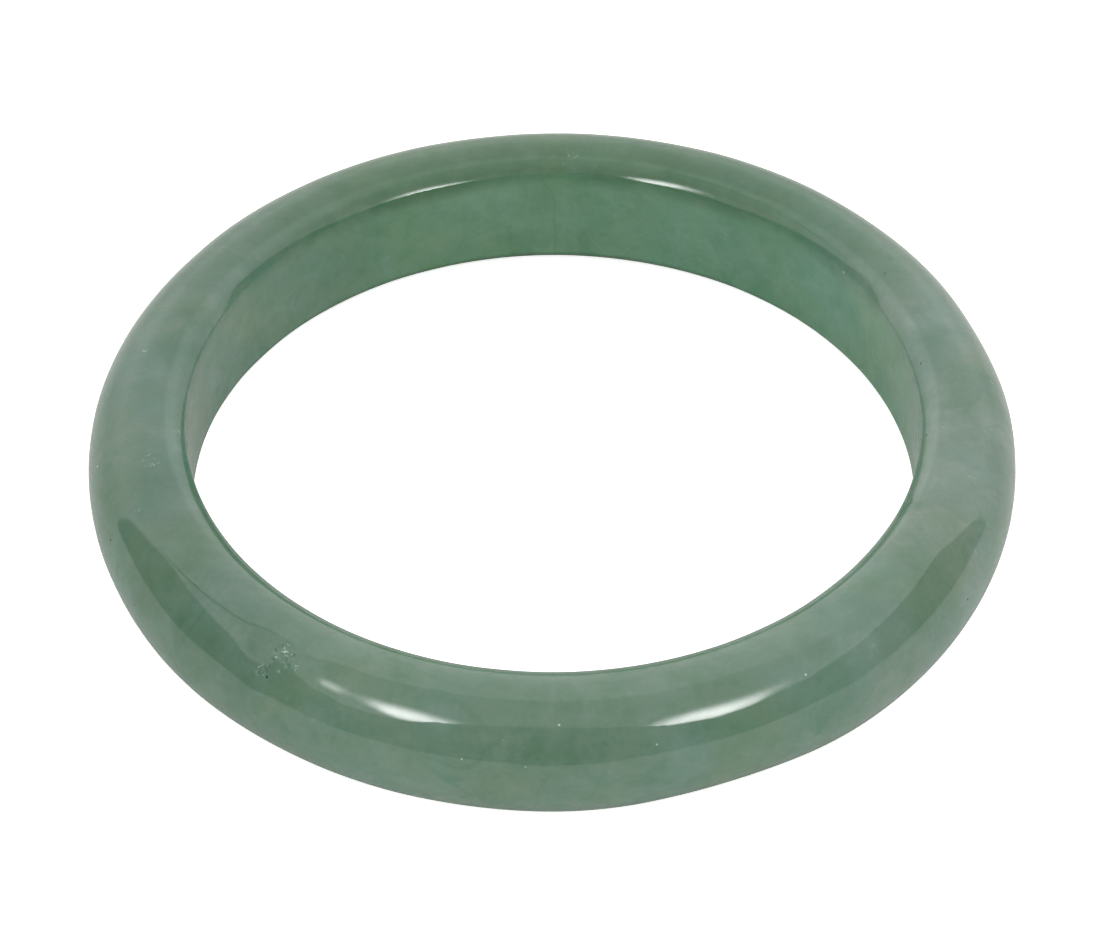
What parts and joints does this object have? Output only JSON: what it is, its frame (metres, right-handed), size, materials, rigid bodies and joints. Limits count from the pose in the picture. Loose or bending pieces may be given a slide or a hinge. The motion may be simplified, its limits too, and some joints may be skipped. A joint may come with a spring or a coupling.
{
  "type": "bangle bracelet",
  "caption": "Closed ring bangle of solid polished green stone, D-shaped in section with a straight bore, that slides over the hand.",
  "frame": {"origin": "centre of the bore, at mid-height of the ring", "axes": "+Z along the bore; the ring is the same all round Z and the same either way up, so X and Y are free"},
  "size_m": [0.073, 0.073, 0.0112],
  "materials": {
    "jade": "high polish; translucent grey-green stone with milky clouds and darker veins"
  },
  "bodies": {
    "root": {"stone_ring": "jade"}
  },
  "joints": []
}
